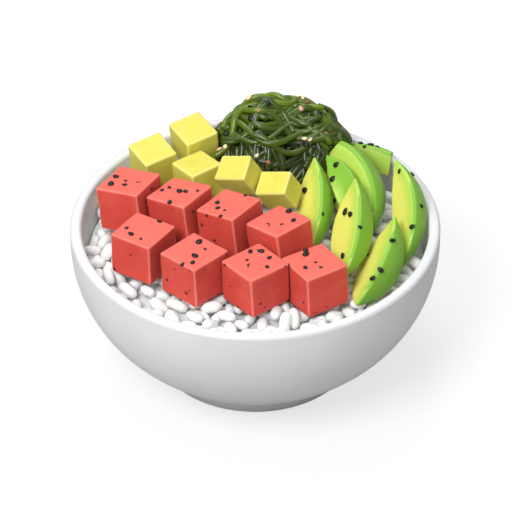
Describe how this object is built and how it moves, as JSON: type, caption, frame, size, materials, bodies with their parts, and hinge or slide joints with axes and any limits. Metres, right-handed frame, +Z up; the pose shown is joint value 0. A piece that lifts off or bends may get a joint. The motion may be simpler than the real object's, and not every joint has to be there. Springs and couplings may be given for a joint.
{
  "type": "poke bowl",
  "caption": "Glazed bowl of rice topped with cubes of raw tuna and mango, fanned avocado slices and a heap of seaweed strands.",
  "frame": {"origin": "centre of the underside of the foot ring, on the surface that the bowl stands on", "axes": "+Z up, +Y towards the seaweed, +X towards the avocado"},
  "size_m": [0.16, 0.16, 0.0967],
  "materials": {
    "glazed_stoneware": "white gloss glaze",
    "rice": "moist cooked grain",
    "tuna": "moist cut fish",
    "mango": "moist cut fruit",
    "avocado": "satin cut fruit",
    "seaweed": "wet gloss"
  },
  "bodies": {
    "root": {"bowl": "glazed_stoneware", "rice_bed": "rice", "seaweed_heap": "seaweed", "tuna_cube_1": "tuna", "tuna_cube_2": "tuna", "tuna_cube_3": "tuna", "tuna_cube_4": "tuna", "tuna_cube_5": "tuna", "tuna_cube_6": "tuna", "tuna_cube_7": "tuna", "tuna_cube_8": "tuna", "mango_cube_1": "mango", "mango_cube_2": "mango", "mango_cube_3": "mango", "mango_cube_4": "mango", "mango_cube_5": "mango", "avocado_slice_1": "avocado", "avocado_slice_2": "avocado", "avocado_slice_3": "avocado", "avocado_slice_4": "avocado", "avocado_slice_5": "avocado", "avocado_slice_6": "avocado", "avocado_slice_7": "avocado"}
  },
  "joints": []
}
